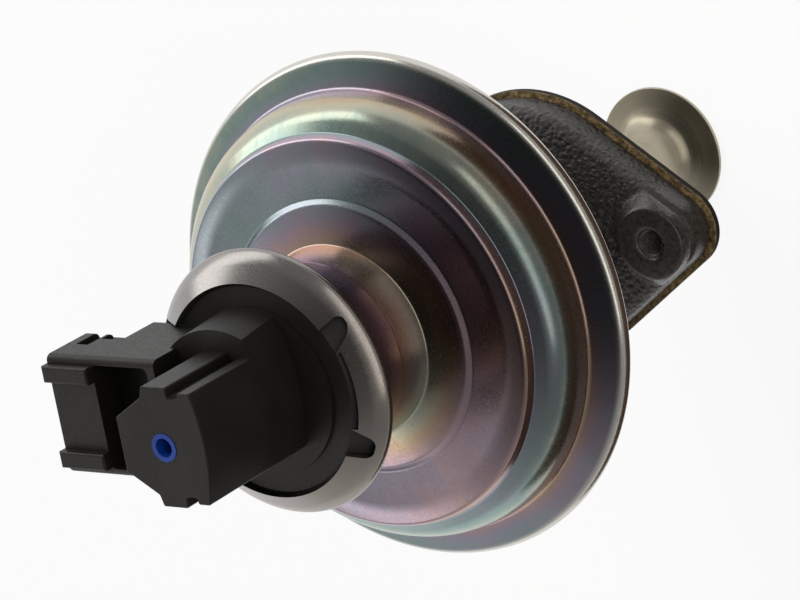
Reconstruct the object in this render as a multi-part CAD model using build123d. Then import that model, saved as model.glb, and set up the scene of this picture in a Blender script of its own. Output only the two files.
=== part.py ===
from build123d import *
import math
import os

os.makedirs("parts", exist_ok=True)

# A vacuum operated exhaust gas recirculation valve with a position sensor crimped on top.
# Millimetres. The origin is the middle of the mounting face, under the flange gasket.
# +Z runs along the valve stem towards the sensor. +X runs along the flange's long axis,
# and the electrical connector points to -X.

# Clearances
press_gap = 0.01        # pieces pressed or screwed together
running_gap = 0.03      # the stem in its guide, the plunger in its guide
slip_gap = 0.1          # pieces that slip together by hand
rest_gap = 0.3          # stops and soft pieces at rest

# Valve travel
lift = 8.5

# Flange gasket and cast body
gasket_t = 1.5
gasket_proud = 1.0      # how far the gasket shows past the casting
flange_r = 23.5         # round middle of the flange
corner_r = 6.6          # round ends of the flange
bolt_spacing = 56.6
bolt_core_r = 2.5       # M6 threaded hole
bolt_hole_r = 3.3       # bolt hole through the gasket
gasket_bore_r = 14.5    # lets the valve head through
flange_t = 6.5
flange_edge_r = 1.8
boss_h = 2.9            # bolt boss above the flange
boss_base_r = 8.6
boss_top_r = 6.4
mouth_chamfer = 0.5     # countersink of each threaded hole
body_h = 29.1           # cast body, from gasket to pad
neck_r = 13.0
neck_root_r = 3.0       # fillet between flange and neck
pad_r = 18.0            # pad that carries the diaphragm can
pad_t = 8.5
web_t = 5.0
web_r = 16.5            # how far the webs beside the neck reach out

# Stem, guide and seal
stem_r = 4.0
guide_wall = 2.5
guide_low_z = 4.0
seal_r = 9.0
seal_t = 4.2
guide_cover = 0.4       # floor between guide bush and seal pocket
recess_r = 11.5
recess_h = 6.0
shield_t = 0.6

# Valve head
head_r = 12.6
head_low_z = -40.3
head_rim_t = 1.2
head_cone = 1.1         # rise of the shallow cone near the rim
head_cone_r = 8.6
head_neck_h = 8.0       # curve from the cone into the stem
head_hub_wall = 0.35    # feather edge of the hub where it meets the stem
seat_chamfer = 0.6

# Diaphragm can
sheet_t = 1.0
insulator_t = 1.2
can_inset = 12.5        # can wall inside the rim
can_depth = 14.3        # from the can's underside to the top of its flange
can_edge_r = 3.0
can_root_r = 2.0
fold_w = 2.7            # how far the rim stands out past the can's flange
vent_r = 1.5
vent_inset = 8.5        # vents inside the can wall
vent_count = 3

# Screws and retainer that hold the can to the casting
screw_r = 2.0
screw_pitch_r = 13.8
screw_count = 3
screw_head_r = 3.5
screw_head_h = 2.4
screw_socket_r = 1.5
screw_socket_h = 1.4
screw_grip = 7.0        # how deep the screws reach into the casting
retainer_t = 0.8
retainer_r = 17.6
hat_r = 8.6
hat_h = 2.4

# Piston
collar_r = 6.5
collar_t = 1.2
stud_r = 3.0            # threaded top of the stem
plate_t = 1.2
lower_plate_inset = 1.3
lower_plate_drop = 1.5
piston_inset = 18.2     # upper plate inside the rim
upper_plate_h = 4.7
nut_across = 10.0
nut_h = 4.5
stud_proud = 1.0        # stem end above the nut

# Diaphragm
rubber_t = 0.9
bead_inset = 6.3        # inner edge of the clamped border, inside the rim
roll_rise = 4.3         # crown of the rolling fold above the border
roll_gap = 0.8          # fold's inner wall outside the upper plate
roll_out_w = 3.5        # fold's outer flank

# Upper cover, from its rolled rim up to the crimped lip. Heights count from the rim's inner edge.
rim_r = 45.0
rim_w = 5.6             # rim, from its outer edge to the first wall
rim_rise = 2.2          # the rim's face rises this much towards the wall
clamp_h = 2.7           # the rim's inner edge above the can's flange
hem_w = 5.2
wall_one_lean = 0.5
wall_one_h = 6.1
shoulder_r = 7.5        # rounding of the first shoulder
cone_w = 4.1
cone_h = 9.1
wall_two_lean = 0.9
wall_two_h = 11.8
brow_r = 3.0            # rounding of the second shoulder
plateau_h = 11.0        # the plateau dishes down to its inner edge
seat_clear = 1.8        # plateau's inner edge outside the spring
step_three_w = 1.0
step_three_h = 12.2
throat_r = 15.6
throat_flare = 1.3
throat_root_h = 13.5
throat_low_h = 18.8
cup_h = 31.4            # underside of the crimp cup
cup_r = 22.35
cup_roll_r = 1.15
lip_in_r = 18.4
slot_out_r = 21.7
slot_round = 1.2
slots_deg = ((22.5, 29.5, 37.6, 37.0), (-17.5, -23.3, -32.5, -33.8))

# Main spring
spring_wire_r = 1.2
spring_inset = 3.2      # spring inside the upper plate's rim
spring_turns = 4.0
spring_seat_gap = 0.15

# Sensor housing
flange_edge_gap = 0.3
lip_gap = 0.05
edge_round = 0.4        # moulded outer edges
sensor_flange_t = 3.7
sensor_pad_r = 14.3
sensor_pad_h = 0.6
spigot_wall = 3.3
spigot_len = 15.2
ring_r = 0.83           # section radius of the sealing ring
ring_groove_w = 2.4
ring_drop = 4.4         # middle of the ring groove below the sensor flange
ceiling = 1.3           # roof of the wide chamber above the sensor flange's underside
chamber_r = 6.3
chamber_h = 17.5
front_h = 25.6          # front block above the sensor flange
shoulder_h = 9.6        # round shoulder above the sensor flange
shoulder_low_r = 14.3
shoulder_top_r = 13.75
front_left = 8.8
front_right = 8.3
front_arc_r = 35.0
front_flat = 4.6        # half height of the flat left side
lug_x = 2.5
lug_y = 10.1
waist_y = 8.2
groove_x = 4.7
rib_y = 9.3

# Connector, pointing to -X
plug_half_w = 10.3
plug_mouth_x = -30.8
plug_back_x = -21.2
plug_end_x = -8.0
plug_top_h = 15.7       # top face above the sensor flange
plug_depth = 11.3
plug_neck_depth = 17.7
plug_corner_r = 1.2
plug_wall = 1.7
plug_cavity = 8.6
pocket_h = 6.1
pocket_wall = 1.3
pocket_web = 1.6
rail_h = 1.6
rail_in_y = 6.0
rail_out_y = 8.85
key_x = -27.3
key_w = 2.6
key_len = 5.9
key_deep = 1.0
ledge_len = 4.3
ledge_h = 3.0
ledge_deep = 0.8

# Terminals
pin_count = 3
pin_pitch = 5.0
pin_w = 1.5
pin_t = 0.8
pin_tip = 4.5           # pin tips behind the connector's mouth
pin_drop = 3.0          # step down in the wall behind the cavity
pin_skin = 0.1          # plastic left on that step
pin_leg = 3.0           # how far the pins reach below the chamber's roof

# Port sleeve
sleeve_r = 2.4
sleeve_bore_r = 1.6
sleeve_len = 8.6
sleeve_proud = 0.1
port_r = 1.2

# Plunger and its track
plunger_r = 2.5
foot_r = 5.5
foot_t = 1.5
guide_disc_t = 3.0
guide_vent_r = 1.1
guide_vent_pitch_r = 6.5
guide_vent_count = 4
slider_r = 5.8
slider_t = 3.5
slider_arm = 6.6
rod_top = 2.2           # rod above the slider, inside its spring
wiper_t = 0.4
wiper_w = 5.0
wiper_h = 2.0
track_t = 1.0
track_w = 10.0
plunger_wire_r = 0.35
plunger_coil_r = 4.4
plunger_turns = 6.0

# Heights worked out from the sizes above
flange_z = gasket_t
flange_top_z = flange_z + flange_t
boss_top_z = flange_top_z + boss_h
pad_top_z = gasket_t + body_h
seal_low_z = pad_top_z - seal_t - slip_gap
guide_top_z = seal_low_z - guide_cover
can_z = pad_top_z + insulator_t
can_floor_z = can_z + sheet_t
can_flange_z = can_z + can_depth
retainer_top_z = can_floor_z + retainer_t
hat_top_z = can_floor_z + hat_h
collar_z = hat_top_z + rest_gap
lower_plate_z = collar_z + collar_t
diaphragm_z = lower_plate_z + plate_t
upper_plate_z = diaphragm_z + rubber_t + slip_gap
nut_z = upper_plate_z + plate_t
stem_top_z = nut_z + nut_h + stud_proud
bead_z = can_flange_z + rubber_t / 2
rim_top_z = can_flange_z + clamp_h
rim_edge_z = rim_top_z - rim_rise
hem_z = can_flange_z - 2 * sheet_t
sensor_z = rim_top_z + cup_h + sheet_t
sensor_top_z = sensor_z + sensor_flange_t
roof_z = sensor_z + ceiling
chamber_top_z = roof_z + chamber_h
front_z = sensor_top_z + front_h
shoulder_z = sensor_top_z + shoulder_h
spigot_z = sensor_z - spigot_len
spigot_r = throat_r - sheet_t - rest_gap
ring_z = sensor_z - ring_drop
plug_top_z = sensor_top_z + plug_top_h
plug_low_z = plug_top_z - plug_depth
plug_neck_z = plug_top_z - plug_neck_depth
pin_z = plug_top_z - plug_depth / 2
guide_disc_z = spigot_z + slip_gap
guide_disc_top_z = guide_disc_z + guide_disc_t
slider_z = roof_z - rest_gap - lift - slider_t
foot_z = stem_top_z + rest_gap
chamber_wide_r = spigot_r - spigot_wall
track_x = -(slider_arm + wiper_t + 0.5 * slip_gap)
bolt_x = bolt_spacing / 2
can_r = rim_r - can_inset
can_flange_r = rim_r - fold_w
vent_pitch_r = can_r - vent_inset
wall_one_r = rim_r - rim_w
bead_in_r = rim_r - bead_inset
upper_plate_r = rim_r - piston_inset
lower_plate_r = upper_plate_r - lower_plate_inset
roll_in_r = upper_plate_r + roll_gap
roll_out_r = bead_in_r - roll_out_w
spring_mean_r = upper_plate_r - plate_t - spring_inset - spring_wire_r
seat_r = spring_mean_r + spring_wire_r + seat_clear
head_hub_r = stem_r + head_hub_wall
stem_bore_r = stem_r + running_gap
guide_r = stem_r + guide_wall
seal_bore_r = stem_r + slip_gap


def save(name, shape):
    export_step(shape, f"parts/{name}.step")


def turned(points):
    # A solid turned about the valve axis, from (radius, height) points of its half section.
    return revolve(Plane.XZ * make_face(Polyline(*points, close=True)), Axis.Z)


def ring(inner_r, outer_r, low, high):
    return turned([(inner_r, low), (outer_r, low), (outer_r, high), (inner_r, high)])


def pressed(points, radii, thickness):
    # A pressing turned about the valve axis. The points follow the face on the right of the
    # line's direction, and the sheet lies on its left.
    line = FilletPolyline(*points, radius=radii)
    section = make_face(offset(line, thickness, side=Side.LEFT, closed=True))
    return revolve(Plane.XZ * section, Axis.Z)


def hole(radius, low, high, x=0.0, y=0.0):
    return Pos(x, y, (low + high) / 2) * Cylinder(radius, high - low)


def around(count, radius, start=90.0):
    # Places spread evenly on a circle about the valve axis.
    for number in range(count):
        turn = math.radians(start + 360.0 * number / count)
        yield radius * math.cos(turn), radius * math.sin(turn)


def block(x, y, z):
    # A box from its low and high limits along each axis.
    size = [high - low for low, high in (x, y, z)]
    return Pos(*[(low + high) / 2 for low, high in (x, y, z)]) * Box(*size)


def flange_outline(middle_r, end_r):
    rounds = [Circle(middle_r)] + [Pos(side * bolt_x, 0) * Circle(end_r) for side in (-1, 1)]
    return make_hull([edge for circle in rounds for edge in circle.edges()])


def coil(mean_r, wire_r, low, high, turns):
    # A helical spring with its ends ground flat between two heights.
    pitch = (high - low) / turns
    path = Pos(0, 0, low) * Helix(pitch, high - low, mean_r)
    wire = sweep(Plane(path @ 0, z_dir=path % 0) * Circle(wire_r), path=path)
    outer = mean_r + 2 * wire_r
    return wire & Pos(0, 0, (low + high) / 2) * Cylinder(outer, high - low)


# Cast body: diamond flange, bolt bosses, neck, webs and pad
def make_flange_body():
    outline = flange_outline(flange_r, corner_r)
    plate = Pos(0, 0, flange_z) * extrude(outline, flange_t)
    plate = fillet(plate.edges().group_by(Axis.Z)[-1], flange_edge_r)
    tall = Pos(0, 0, flange_z) * extrude(outline, flange_t + boss_h)
    for side in (-1, 1):
        boss = Pos(side * bolt_x, 0, flange_top_z + boss_h / 2) * Cone(boss_base_r, boss_top_r, boss_h)
        plate += boss & tall
    pad_low_z = pad_top_z - pad_t
    neck = turned([
        (0, flange_z), (neck_r + neck_root_r, flange_z), (neck_r + neck_root_r, flange_top_z),
        (neck_r, flange_top_z + neck_root_r), (neck_r, pad_low_z - neck_root_r),
        (pad_r, pad_low_z), (pad_r, pad_top_z), (0, pad_top_z)])
    web = block((-web_r, web_r), (-web_t / 2, web_t / 2), (flange_z, pad_low_z + pad_t / 2))
    body = plate + neck + web
    body -= ring(0, recess_r, flange_z, flange_z + recess_h)
    body -= hole(guide_r + press_gap, flange_z, guide_top_z)
    body -= hole(guide_r - guide_wall / 2, guide_top_z - guide_cover, pad_top_z)
    body -= hole(seal_r, seal_low_z, pad_top_z)
    for side in (-1, 1):
        x = side * bolt_x
        body -= hole(bolt_core_r, flange_z, boss_top_z, x)
        mouth = Cone(bolt_core_r, bolt_core_r + mouth_chamfer, mouth_chamfer)
        body -= Pos(x, 0, boss_top_z - mouth_chamfer / 2) * mouth
    for x, y in around(screw_count, screw_pitch_r):
        body -= hole(screw_r, pad_top_z - screw_grip - rest_gap, pad_top_z, x, y)
    return body


def make_flange_gasket():
    outline = flange_outline(flange_r + gasket_proud, corner_r + gasket_proud)
    sheet = extrude(outline, gasket_t) - hole(gasket_bore_r, 0, gasket_t)
    for side in (-1, 1):
        sheet -= hole(bolt_hole_r, 0, gasket_t, side * bolt_x)
    return sheet


def make_insulating_gasket():
    high = pad_top_z + insulator_t
    sheet = ring(seal_r, pad_r, pad_top_z, high)
    for x, y in around(screw_count, screw_pitch_r):
        sheet -= hole(screw_r + slip_gap, pad_top_z, high, x, y)
    return sheet


# Guide bush, stem seal and deposit shield
def make_guide_bush():
    return ring(stem_bore_r, guide_r, guide_low_z, guide_top_z)


def make_stem_seal():
    return ring(seal_bore_r, seal_r - slip_gap, seal_low_z, seal_low_z + seal_t)


def make_deposit_shield():
    top = flange_z + recess_h
    outer = recess_r - slip_gap
    corner = 2 * shield_t
    points = [(outer, flange_z + slip_gap), (outer, top), (guide_r + slip_gap, top)]
    return pressed(points, [corner], shield_t)


# Valve stem, head and piston
def make_valve_stem():
    low = head_low_z + head_rim_t
    return ring(0, stem_r, low, lower_plate_z) + ring(0, stud_r, lower_plate_z, stem_top_z)


def make_valve_head():
    rim_top = head_low_z + head_rim_t
    cone_top_z = rim_top + head_cone
    hub_z = cone_top_z + head_neck_h
    outline = [
        (0, head_low_z), (head_r - seat_chamfer, head_low_z),
        (head_r, head_low_z + seat_chamfer), (head_r, rim_top), (head_cone_r, cone_top_z)]
    edges = Polyline(*outline)
    curve = Spline((head_cone_r, cone_top_z), (head_hub_r, hub_z),
                   tangents=[(rim_top - cone_top_z + head_cone_r - head_r, head_cone), (0, 1)])
    close = Polyline((head_hub_r, hub_z), (0, hub_z), (0, head_low_z))
    head = revolve(Plane.XZ * make_face(edges + curve + close), Axis.Z)
    return head - hole(stem_r + press_gap, rim_top, hub_z)


def make_stop_collar():
    return ring(stem_r + press_gap, collar_r, collar_z, lower_plate_z)


def make_lower_plate():
    top = lower_plate_z + plate_t
    bend = lower_plate_r - lower_plate_drop
    points = [(lower_plate_r, top - lower_plate_drop), (bend, top), (stud_r + press_gap, top)]
    return pressed(points, [plate_t], plate_t)


def make_upper_plate():
    points = [
        (stud_r + press_gap, upper_plate_z), (upper_plate_r, upper_plate_z),
        (upper_plate_r, upper_plate_z + upper_plate_h)]
    return pressed(points, [2 * plate_t], plate_t)


def make_stem_nut():
    nut = Pos(0, 0, nut_z) * extrude(RegularPolygon(nut_across / 2, 6, major_radius=False), nut_h)
    crown = turned([
        (0, nut_z), (nut_across, nut_z), (nut_across, nut_z + nut_h / 2),
        (nut_across / 2 - 0.1 * nut_h, nut_z + nut_h), (0, nut_z + nut_h)])
    return (nut & crown) - hole(stud_r + press_gap, nut_z, nut_z + nut_h)


# Diaphragm: flat middle, rolling fold and clamped border
def make_diaphragm():
    middle_z = diaphragm_z + slip_gap / 2 + rubber_t / 2
    crown_z = bead_z + roll_rise
    line = FilletPolyline(
        (stud_r + slip_gap + rubber_t, middle_z), (roll_in_r, middle_z), (roll_in_r, crown_z),
        (roll_out_r, crown_z), (bead_in_r, bead_z),
        radius=[1.6, 3.6, 3.0])
    fold = revolve(Plane.XZ * make_face(offset(line, rubber_t / 2, side=Side.BOTH)), Axis.Z)
    # the border fills the wedge between the can's flange and the sloping rim
    slope = rim_rise / rim_w
    ceiling_z = rim_edge_z - sheet_t * math.hypot(1, slope) - slip_gap
    border = turned([
        (bead_in_r, can_flange_z), (can_flange_r, can_flange_z),
        (can_flange_r, ceiling_z + slope * fold_w), (wall_one_r, ceiling_z + rim_rise),
        (bead_in_r, ceiling_z + rim_rise)])
    return fold + border


# Lower half of the can
def make_lower_housing():
    points = [
        (seal_r + slip_gap, can_z), (can_r, can_z),
        (can_r, can_flange_z - sheet_t), (can_flange_r, can_flange_z - sheet_t)]
    can = pressed(points, [can_edge_r, can_root_r], sheet_t)
    for x, y in around(screw_count, screw_pitch_r):
        can -= hole(screw_r + slip_gap, can_z, can_floor_z, x, y)
    for x, y in around(vent_count, vent_pitch_r, start=30.0):
        can -= hole(vent_r, can_z, can_floor_z, x, y)
    return can


def make_seal_retainer():
    points = [
        (retainer_r, retainer_top_z), (hat_r, retainer_top_z),
        (hat_r, hat_top_z), (stem_r + rest_gap, hat_top_z)]
    plate = pressed(points, [0.3 * retainer_t, 1.3 * retainer_t], retainer_t)
    for x, y in around(screw_count, screw_pitch_r):
        plate -= hole(screw_r + slip_gap, can_floor_z, retainer_top_z, x, y)
    return plate


def make_housing_screws():
    screws = []
    top = retainer_top_z + screw_head_h
    for x, y in around(screw_count, screw_pitch_r):
        shank = hole(screw_r - press_gap, pad_top_z - screw_grip, top, x, y)
        head = hole(screw_head_r, retainer_top_z, top, x, y)
        head = fillet(head.edges().group_by(Axis.Z)[-1], screw_head_h / 3)
        socket = RegularPolygon(screw_socket_r, 6)
        drive = Pos(x, y, top - screw_socket_h) * extrude(socket, screw_socket_h)
        screws.append(shank + head - drive)
    return Compound(children=screws)


# Upper cover: rolled rim, steps, throat and crimped lip
def make_upper_cover():
    cone_r = wall_one_r - wall_one_lean - cone_w
    steps = [
        (wall_one_r - wall_one_lean, wall_one_h), (cone_r, cone_h),
        (cone_r - wall_two_lean, wall_two_h), (seat_r, plateau_h),
        (seat_r - step_three_w, step_three_h), (throat_r + throat_flare, throat_root_h),
        (throat_r, throat_low_h)]
    cup_z = sensor_z - sheet_t
    lip_corner_r = cup_r + cup_roll_r * (math.tan(math.radians(67.5)) - 1)
    lip_top_z = cup_z + lip_corner_r - lip_in_r
    points = [(rim_r - hem_w, hem_z), (rim_r, hem_z), (rim_r, rim_edge_z), (wall_one_r, rim_top_z)]
    points += [(r, rim_top_z + h) for r, h in steps]
    points += [(throat_r, cup_z), (lip_corner_r, cup_z), (lip_in_r, lip_top_z)]
    edge_h = rim_edge_z - hem_z
    roll_low_r = 0.48 * edge_h
    roll_high_r = 0.5 * edge_h / math.tan(math.atan2(rim_w, rim_rise) / 2)
    radii = [roll_low_r, roll_high_r, 1.0, shoulder_r, 0.4, brow_r,
             0.5, 1.2, 0.5, 3.0, 2.0, cup_roll_r]
    cover = pressed(points, radii, sheet_t)
    slot_low_z = sensor_z + 0.4 * sheet_t
    slot_h = lip_top_z - slot_low_z + sheet_t
    for near_in, near_out, far_out, far_in in slots_deg:
        corners = [(lip_in_r - sheet_t, near_in), (lip_in_r, near_in), (slot_out_r, near_out),
                   (slot_out_r, far_out), (lip_in_r, far_in), (lip_in_r - sheet_t, far_in)]
        points = [(r * math.cos(math.radians(a)), r * math.sin(math.radians(a))) for r, a in corners]
        slot = Pos(0, 0, slot_low_z) * extrude(make_face(Polyline(*points, close=True)), slot_h)
        outer = slot.edges().filter_by(Axis.Z).group_by(SortBy.DISTANCE)[-1]
        cover -= fillet(outer, slot_round)
    gap_y = plug_half_w + rest_gap
    cover -= block((-rim_r, plug_end_x), (-gap_y, gap_y), (plug_neck_z - rest_gap, lip_top_z + sheet_t))
    return cover


# Sensor housing
def front_profile():
    # Front block seen along the axis: flat left side, lugs with grooves, and a bowed right side.
    right_x = math.sqrt(front_arc_r ** 2 - rib_y ** 2) - front_arc_r + front_right
    upper = [
        (-front_left, front_flat), (-lug_x - 0.5, waist_y), (-lug_x, lug_y), (lug_x, lug_y),
        (lug_x, waist_y), (groove_x, waist_y), (groove_x, rib_y), (right_x, rib_y)]
    lower = [(x, -y) for x, y in reversed(upper)]
    bow = ThreePointArc(upper[-1], (front_right, 0), lower[0])
    return make_face(Polyline(*upper) + bow + Polyline(*lower) + Line(lower[-1], upper[0]))


def sensor_shoulder():
    # Round shoulder on the upper side, cut by the bowed right side.
    round_part = Pos(0, 0, (sensor_top_z + shoulder_z) / 2) * Cone(
        shoulder_low_r, shoulder_top_r, shoulder_h)
    bow = Pos(front_right - front_arc_r, 0, (sensor_top_z + shoulder_z) / 2) * Cylinder(
        front_arc_r, shoulder_h)
    half = block((-sensor_pad_r, sensor_pad_r), (0, sensor_pad_r), (sensor_top_z, shoulder_z))
    return round_part & bow & half


def connector_body():
    def section(low, x):
        height = plug_top_z - low
        face = RectangleRounded(2 * plug_half_w, height, plug_corner_r)
        return Plane.YZ.offset(x) * Pos(0, low + height / 2) * face

    neck = extrude(section(plug_neck_z, plug_back_x), plug_end_x - plug_back_x)
    pocket_y = plug_half_w - pocket_wall
    pocket = block((plug_back_x, plug_end_x - pocket_web), (-pocket_y, pocket_y),
                   (plug_top_z - pocket_h, plug_top_z + pocket_h))
    neck -= fillet(pocket.edges().filter_by(Axis.Z), plug_corner_r)
    shroud = extrude(section(plug_low_z, plug_mouth_x), plug_back_x - plug_mouth_x)
    shroud = fillet(shroud.edges().group_by(Axis.X)[0], edge_round)
    for low, high in ((rail_in_y, rail_out_y), (-rail_out_y, -rail_in_y)):
        rail = block((plug_mouth_x, plug_back_x), (low, high), (plug_top_z - plug_wall, plug_top_z + rail_h))
        shroud += fillet(rail.edges().group_by(Axis.Z)[-1], edge_round)
    wall_y = plug_half_w - plug_wall
    shroud -= block(
        (plug_mouth_x, plug_mouth_x + plug_cavity), (-wall_y, wall_y),
        (plug_low_z + plug_wall, plug_top_z - plug_wall))
    shroud -= block(
        (key_x - key_w / 2, key_x + key_w / 2), (plug_half_w - key_deep, plug_half_w),
        (plug_low_z, plug_low_z + key_len))
    shroud -= block(
        (plug_back_x - ledge_len, plug_back_x), (plug_half_w - ledge_deep, plug_half_w),
        (plug_low_z, plug_low_z + ledge_h))
    return neck + shroud


def pins():
    # The terminals, each bent from the connector down to the track.
    half_w = pin_w / 2
    half_t = pin_t / 2
    leg_x = track_x - track_t - pin_t / 2
    step_x = plug_back_x - pin_skin - pin_t / 2
    run_z = pin_z - pin_drop
    solids = []
    for number in range(pin_count):
        y = (number - (pin_count - 1) / 2) * pin_pitch
        across = (y - half_w, y + half_w)
        blade = block((plug_mouth_x + pin_tip, step_x + half_t), across, (pin_z - half_t, pin_z + half_t))
        step = block((step_x - half_t, step_x + half_t), across, (run_z - half_t, pin_z + half_t))
        run = block((step_x - half_t, leg_x + half_t), across, (run_z - half_t, run_z + half_t))
        leg = block((leg_x - half_t, leg_x + half_t), across, (roof_z - pin_leg, run_z + half_t))
        solids.append(blade + step + run + leg)
    return solids


def make_sensor_housing():
    edge_r = cup_r - sheet_t - flange_edge_gap
    # the crimped lip's inner face is a 45 degree cone, on which radius and height add up to this
    lip_line = cup_r + sensor_z - sheet_t + math.sqrt(2) * (cup_roll_r - sheet_t)
    chamfer_low_z = lip_line - edge_r - lip_gap
    chamfer_in_r = lip_line - sensor_top_z - lip_gap
    groove_r = spigot_r + rest_gap - 2 * ring_r - 4 * press_gap
    groove_low_z = ring_z - ring_groove_w / 2
    groove_high_z = ring_z + ring_groove_w / 2
    pad_z = sensor_top_z + sensor_pad_h
    base = turned([
        (chamber_wide_r, spigot_z), (spigot_r, spigot_z), (spigot_r, groove_low_z),
        (groove_r, groove_low_z), (groove_r, groove_high_z), (spigot_r, groove_high_z),
        (spigot_r, sensor_z), (edge_r, sensor_z), (edge_r, chamfer_low_z),
        (chamfer_in_r, sensor_top_z), (sensor_pad_r, sensor_top_z), (sensor_pad_r, pad_z),
        (0, pad_z), (0, roof_z), (chamber_wide_r, roof_z)])
    front = Pos(0, 0, sensor_top_z) * extrude(front_profile(), front_h)
    front = fillet(front.edges().filter_by(Axis.Z), edge_round)
    front = fillet(front.edges().group_by(Axis.Z)[-1], edge_round / 2)
    housing = base + front + sensor_shoulder() + connector_body()
    housing -= hole(chamber_r, roof_z, chamber_top_z)
    housing -= hole(port_r, chamber_top_z, front_z)
    housing -= hole(sleeve_r, front_z - sleeve_len + sleeve_proud, front_z)
    for slot in pins():
        housing -= slot
    return housing


def make_port_sleeve():
    high = front_z + sleeve_proud
    return ring(sleeve_bore_r, sleeve_r - press_gap, high - sleeve_len, high)


def make_sensor_seal():
    groove_r = spigot_r + rest_gap - 2 * ring_r - 4 * press_gap
    return Pos(0, 0, ring_z) * Torus(groove_r + ring_r + press_gap, ring_r)


# Plunger, slider, wiper, track and guide
def make_plunger_guide():
    disc = ring(plunger_r + running_gap, chamber_wide_r - press_gap, guide_disc_z, guide_disc_top_z)
    for x, y in around(guide_vent_count, guide_vent_pitch_r, start=45.0):
        disc -= hole(guide_vent_r, guide_disc_z, guide_disc_top_z, x, y)
    return disc


def make_plunger():
    foot_top_z = foot_z + foot_t
    return ring(0, foot_r, foot_z, foot_top_z) + ring(0, plunger_r, foot_top_z, slider_z + slider_t + rod_top)


def make_slider():
    high = slider_z + slider_t
    arm = block((-slider_arm, 0), (-wiper_w / 2, wiper_w / 2), (slider_z, high))
    return ring(0, slider_r, slider_z, high) + arm - hole(plunger_r + press_gap, slider_z, high)


def make_wiper():
    middle = slider_z + slider_t / 2
    return block(
        (-slider_arm - wiper_t, -slider_arm), (-wiper_w / 2, wiper_w / 2),
        (middle - wiper_h / 2, middle + wiper_h / 2))


def make_track_board():
    return block(
        (track_x - track_t, track_x), (-track_w / 2, track_w / 2), (guide_disc_top_z, roof_z))


save("flange_gasket", make_flange_gasket())
save("flange_body", make_flange_body())
save("deposit_shield", make_deposit_shield())
save("guide_bush", make_guide_bush())
save("stem_seal", make_stem_seal())
save("insulating_gasket", make_insulating_gasket())
save("lower_housing", make_lower_housing())
save("seal_retainer", make_seal_retainer())
save("housing_screws", make_housing_screws())
save("valve_stem", make_valve_stem())
save("valve_head", make_valve_head())
save("stop_collar", make_stop_collar())
save("lower_plate", make_lower_plate())
save("diaphragm", make_diaphragm())
save("upper_plate", make_upper_plate())
save("stem_nut", make_stem_nut())
spring_low = upper_plate_z + plate_t + spring_seat_gap
spring_high = rim_top_z + plateau_h - spring_seat_gap
save("main_spring", coil(spring_mean_r, spring_wire_r, spring_low, spring_high, spring_turns))
save("upper_cover", make_upper_cover())
save("sensor_housing", make_sensor_housing())
save("port_sleeve", make_port_sleeve())
save("sensor_seal", make_sensor_seal())
save("terminals", Compound(children=pins()))
save("track_board", make_track_board())
save("plunger_guide", make_plunger_guide())
save("plunger", make_plunger())
save("slider", make_slider())
save("wiper", make_wiper())
coil_low = slider_z + slider_t + spring_seat_gap
coil_high = chamber_top_z - spring_seat_gap
save("plunger_spring", coil(plunger_coil_r, plunger_wire_r, coil_low, coil_high, plunger_turns))
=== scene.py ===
import bpy
import math
from mathutils import Matrix, Vector


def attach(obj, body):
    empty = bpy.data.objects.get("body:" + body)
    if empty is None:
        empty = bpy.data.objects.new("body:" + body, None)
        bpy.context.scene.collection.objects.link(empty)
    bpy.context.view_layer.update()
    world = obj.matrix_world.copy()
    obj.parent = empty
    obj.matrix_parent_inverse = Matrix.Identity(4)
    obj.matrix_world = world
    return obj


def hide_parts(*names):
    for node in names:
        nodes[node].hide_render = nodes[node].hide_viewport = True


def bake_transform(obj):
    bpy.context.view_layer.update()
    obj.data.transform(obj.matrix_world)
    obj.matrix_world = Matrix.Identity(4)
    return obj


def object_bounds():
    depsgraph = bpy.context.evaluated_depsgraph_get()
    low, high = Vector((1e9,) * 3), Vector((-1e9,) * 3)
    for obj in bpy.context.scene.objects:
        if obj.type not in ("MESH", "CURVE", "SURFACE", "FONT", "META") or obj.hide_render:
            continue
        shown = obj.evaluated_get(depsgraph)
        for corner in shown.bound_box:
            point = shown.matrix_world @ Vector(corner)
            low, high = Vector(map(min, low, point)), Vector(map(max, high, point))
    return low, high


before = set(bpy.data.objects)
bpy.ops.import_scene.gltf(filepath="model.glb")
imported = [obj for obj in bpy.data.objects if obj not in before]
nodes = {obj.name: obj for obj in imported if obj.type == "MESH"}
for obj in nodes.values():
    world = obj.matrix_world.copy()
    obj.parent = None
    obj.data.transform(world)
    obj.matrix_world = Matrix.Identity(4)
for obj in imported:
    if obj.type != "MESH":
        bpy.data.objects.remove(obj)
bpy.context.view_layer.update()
mm = 0.001
print("frame loaded:", len(nodes), "nodes")


def deselectAll():
    if bpy.context.object and bpy.context.object.mode != "OBJECT":
        bpy.ops.object.mode_set(mode="OBJECT")
    bpy.ops.object.select_all(action="DESELECT")


def makeActive(piece):
    deselectAll()
    piece.select_set(True)
    bpy.context.view_layer.objects.active = piece


def editOn():
    bpy.ops.object.mode_set(mode="EDIT")


def editOff():
    bpy.ops.object.mode_set(mode="OBJECT")


def applyPlace(piece):
    makeActive(piece)
    bpy.ops.object.transform_apply(location=True, rotation=True, scale=True)


def addModifier(piece, kind, **settings):
    # adds a modifier and applies it at once
    makeActive(piece)
    modifier = piece.modifiers.new(kind.title(), kind)
    for key, value in settings.items():
        setattr(modifier, key, value)
    bpy.ops.object.modifier_apply(modifier=modifier.name)


def onOutline(corners):
    # turns (distance from the axis, degrees) into x and y
    return [(r * math.cos(math.radians(a)), r * math.sin(math.radians(a))) for r, a in corners]


def selectWhere(piece, kind, test):
    # picks vertices or edges by their place, from object mode
    mesh = piece.data
    for group in (mesh.vertices, mesh.edges, mesh.polygons):
        group.foreach_set("select", [False] * len(group))
    for item in getattr(mesh, kind):
        if test(item):
            item.select = True


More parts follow.
